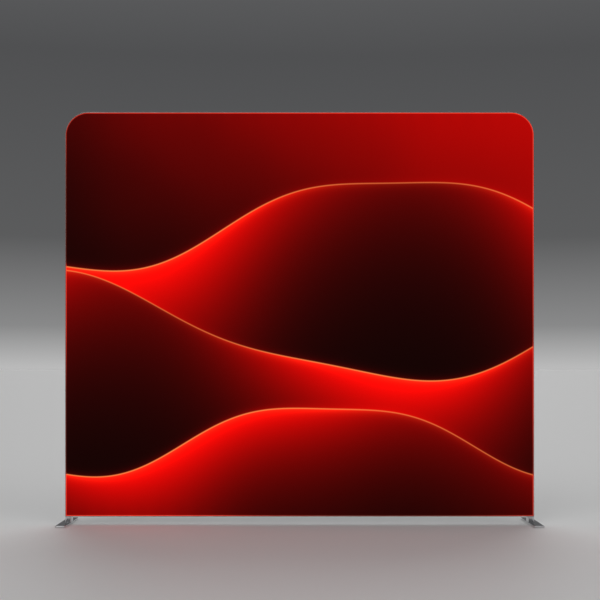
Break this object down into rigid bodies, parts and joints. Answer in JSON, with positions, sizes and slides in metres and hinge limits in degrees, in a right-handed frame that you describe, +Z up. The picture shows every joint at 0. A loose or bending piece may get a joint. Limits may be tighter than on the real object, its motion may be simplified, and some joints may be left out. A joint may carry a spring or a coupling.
{
  "type": "lightbox display wall",
  "caption": "Free-standing backlit fabric display wall: slim aluminium edge-grip frame with round top corners, printed front, dark liner, edge lighting bars and flat swivel feet.",
  "frame": {"origin": "on the floor, under the middle of the wall", "axes": "+X along the wall to the right as seen from the front, +Y to the rear, +Z up; the lit front faces -Y"},
  "size_m": [2.49, 0.35, 2.144],
  "materials": {
    "anodised_frame": "fine satin silver anodising",
    "mill_aluminium": "mill finish extrusion",
    "zinc_lock": "zinc plated",
    "chrome_foot": "polished chrome plate",
    "zinc_bolt": "zinc plated",
    "printed_fabric": "dye-printed knitted backlit fabric, black to red",
    "liner_fabric": "matt charcoal blockout fabric",
    "silicone_edge": "translucent silicone strip",
    "clear_lens": "moulded clear lenses on a white board",
    "driver_case": "white moulded case",
    "inlet_body": "black moulded nylon",
    "rocker": "black moulded rocker",
    "lead_sheath": "dark grey sheath",
    "nylon_shoe": "black nylon"
  },
  "bodies": {
    "wall": {"bottom_rail_left": "anodised_frame", "bottom_rail_right": "anodised_frame", "left_upright_lower": "anodised_frame", "left_upright_upper": "anodised_frame", "right_upright_lower": "anodised_frame", "right_upright_upper": "anodised_frame", "top_bend_left": "anodised_frame", "top_bend_right": "anodised_frame", "top_rail_left": "anodised_frame", "top_rail_right": "anodised_frame", "splice_bottom_mid": "mill_aluminium", "splice_top_mid": "mill_aluminium", "splice_left_mid": "mill_aluminium", "splice_right_mid": "mill_aluminium", "splice_bend_left_side": "mill_aluminium", "splice_bend_left_top": "mill_aluminium", "splice_bend_right_top": "mill_aluminium", "splice_bend_right_side": "mill_aluminium", "corner_bracket_left": "mill_aluminium", "corner_bracket_right": "mill_aluminium", "led_channel_top_left": "mill_aluminium", "led_channel_top_right": "mill_aluminium", "led_channel_bottom_left": "mill_aluminium", "led_channel_bottom_right": "mill_aluminium", "support_lower": "mill_aluminium", "support_upper": "mill_aluminium", "foot_post_left": "chrome_foot", "foot_bolt_left": "zinc_bolt", "foot_post_right": "chrome_foot", "foot_bolt_right": "zinc_bolt", "front_graphic": "printed_fabric", "rear_liner": "liner_fabric", "front_silicone_edge": "silicone_edge", "rear_silicone_edge": "silicone_edge", "led_strip_top_left": "clear_lens", "led_strip_top_right": "clear_lens", "led_strip_bottom_left": "clear_lens", "led_strip_bottom_right": "clear_lens", "led_driver": "driver_case", "power_inlet": "inlet_body", "mains_lead": "lead_sheath", "dc_lead_bottom": "lead_sheath", "dc_lead_top": "lead_sheath", "jumper_top": "lead_sheath", "jumper_bottom": "lead_sheath", "support_shoe_lower": "nylon_shoe", "support_shoe_upper": "nylon_shoe"},
    "rocker": {"rocker_switch": "rocker"},
    "left_foot": {"foot_plate_left": "chrome_foot"},
    "right_foot": {"foot_plate_right": "chrome_foot"},
    "lock_bottom_mid": {"lock_bottom_mid": "zinc_lock"},
    "lock_top_mid": {"lock_top_mid": "zinc_lock"},
    "lock_left_mid": {"lock_left_mid": "zinc_lock"},
    "lock_right_mid": {"lock_right_mid": "zinc_lock"},
    "lock_bend_left_side": {"lock_bend_left_side": "zinc_lock"},
    "lock_bend_left_top": {"lock_bend_left_top": "zinc_lock"},
    "lock_bend_right_top": {"lock_bend_right_top": "zinc_lock"},
    "lock_bend_right_side": {"lock_bend_right_side": "zinc_lock"},
    "lock_corner_left": {"lock_corner_left": "zinc_lock"},
    "lock_corner_right": {"lock_corner_right": "zinc_lock"}
  },
  "joints": [
    {"name": "lock_bottom_mid_turn", "type": "hinge", "parent": "wall", "child": "lock_bottom_mid", "pos_m": [0.045, 0, 0.07], "axis": [0, 0, 1], "range_deg": [0, 90]},
    {"name": "lock_top_mid_turn", "type": "hinge", "parent": "wall", "child": "lock_top_mid", "pos_m": [0.045, 0, 2.114], "axis": [0, 0, -1], "range_deg": [0, 90]},
    {"name": "lock_left_mid_turn", "type": "hinge", "parent": "wall", "child": "lock_left_mid", "pos_m": [-1.19, 0, 1.037], "axis": [1, 0, 0], "range_deg": [0, 90]},
    {"name": "lock_right_mid_turn", "type": "hinge", "parent": "wall", "child": "lock_right_mid", "pos_m": [1.19, 0, 1.037], "axis": [-1, 0, 0], "range_deg": [0, 90]},
    {"name": "lock_bend_left_side_turn", "type": "hinge", "parent": "wall", "child": "lock_bend_left_side", "pos_m": [-1.19, 0, 1.899], "axis": [1, 0, 0], "range_deg": [0, 90]},
    {"name": "lock_bend_left_top_turn", "type": "hinge", "parent": "wall", "child": "lock_bend_left_top", "pos_m": [-0.975, 0, 2.114], "axis": [0, 0, -1], "range_deg": [0, 90]},
    {"name": "lock_bend_right_top_turn", "type": "hinge", "parent": "wall", "child": "lock_bend_right_top", "pos_m": [0.975, 0, 2.114], "axis": [0, 0, -1], "range_deg": [0, 90]},
    {"name": "lock_bend_right_side_turn", "type": "hinge", "parent": "wall", "child": "lock_bend_right_side", "pos_m": [1.19, 0, 1.899], "axis": [-1, 0, 0], "range_deg": [0, 90]},
    {"name": "lock_corner_left_turn", "type": "hinge", "parent": "wall", "child": "lock_corner_left", "pos_m": [-1.19, 0, 0.115], "axis": [1, 0, 0], "range_deg": [0, 90]},
    {"name": "lock_corner_right_turn", "type": "hinge", "parent": "wall", "child": "lock_corner_right", "pos_m": [1.19, 0, 0.115], "axis": [-1, 0, 0], "range_deg": [0, 90]},
    {"name": "left_foot_swivel", "type": "hinge", "parent": "wall", "child": "left_foot", "pos_m": [-1.205, 0, 0.005], "axis": [0, 0, 1], "range_deg": [-90, 90]},
    {"name": "right_foot_swivel", "type": "hinge", "parent": "wall", "child": "right_foot", "pos_m": [1.205, 0, 0.005], "axis": [0, 0, 1], "range_deg": [-90, 90]},
    {"name": "rocker_tilt", "type": "hinge", "parent": "wall", "child": "rocker", "pos_m": [1.215, 0, 0.23175], "axis": [0, 0, 1], "range_deg": [-14, 0]}
  ]
}
